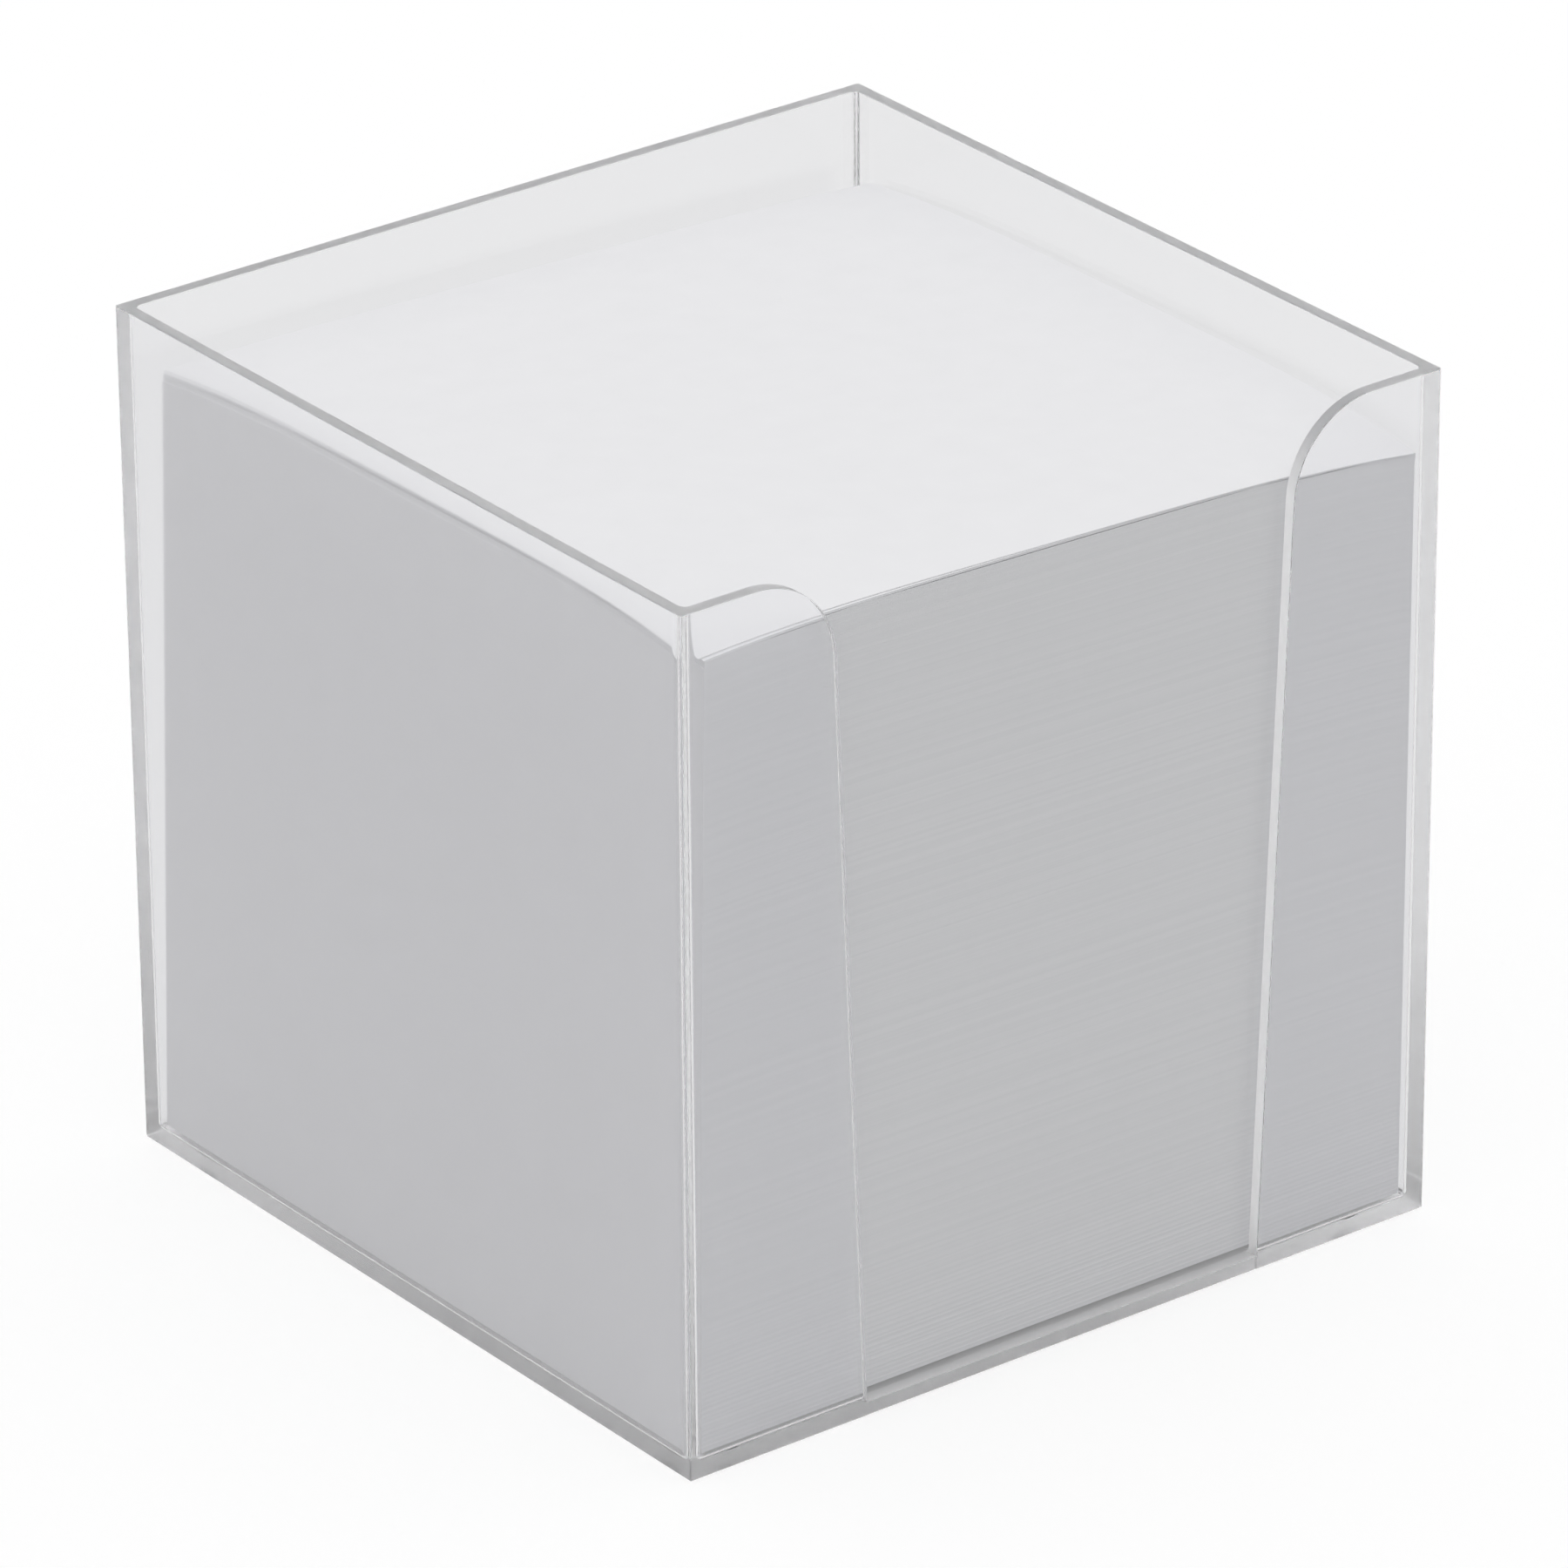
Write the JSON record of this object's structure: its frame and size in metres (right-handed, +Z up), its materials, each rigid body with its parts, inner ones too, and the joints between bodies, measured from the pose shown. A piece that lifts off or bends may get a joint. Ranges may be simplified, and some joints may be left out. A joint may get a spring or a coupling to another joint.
{
  "type": "memo box",
  "caption": "Clear open-topped cube box with a finger slot down its front wall, holding a tall pile of loose square note sheets that lift out.",
  "frame": {"origin": "on the desk, under the middle of the box", "axes": "+Z up; -Y is the front, where the finger slot is; +X to the right seen from the front"},
  "size_m": [0.095, 0.095, 0.0949],
  "materials": {
    "clear_polystyrene": "clear, glossy as moulded",
    "note_paper": "matt, uncoated, guillotine-cut edges"
  },
  "bodies": {
    "box": {"clear_box": "clear_polystyrene"},
    "refill": {"sheet_packet_01": "note_paper", "sheet_packet_02": "note_paper", "sheet_packet_03": "note_paper", "sheet_packet_04": "note_paper", "sheet_packet_05": "note_paper", "sheet_packet_06": "note_paper", "sheet_packet_07": "note_paper", "sheet_packet_08": "note_paper", "sheet_packet_09": "note_paper", "sheet_packet_10": "note_paper", "sheet_packet_11": "note_paper", "sheet_packet_12": "note_paper", "sheet_packet_13": "note_paper", "sheet_packet_14": "note_paper", "sheet_packet_15": "note_paper", "sheet_packet_16": "note_paper"},
    "third_sheet": {"third_sheet": "note_paper"},
    "second_sheet": {"second_sheet": "note_paper"},
    "top_sheet": {"top_sheet": "note_paper"}
  },
  "joints": [
    {"name": "refill_lift", "type": "slide", "parent": "box", "child": "refill", "axis": [0, 0, 1], "range_m": [0, 0.1]},
    {"name": "third_sheet_lift", "type": "slide", "parent": "refill", "child": "third_sheet", "axis": [0, 0, 1], "range_m": [0, 0.04]},
    {"name": "second_sheet_lift", "type": "slide", "parent": "third_sheet", "child": "second_sheet", "axis": [0, 0, 1], "range_m": [0, 0.04]},
    {"name": "top_sheet_lift", "type": "slide", "parent": "second_sheet", "child": "top_sheet", "axis": [0, 0, 1], "range_m": [0, 0.04]}
  ]
}
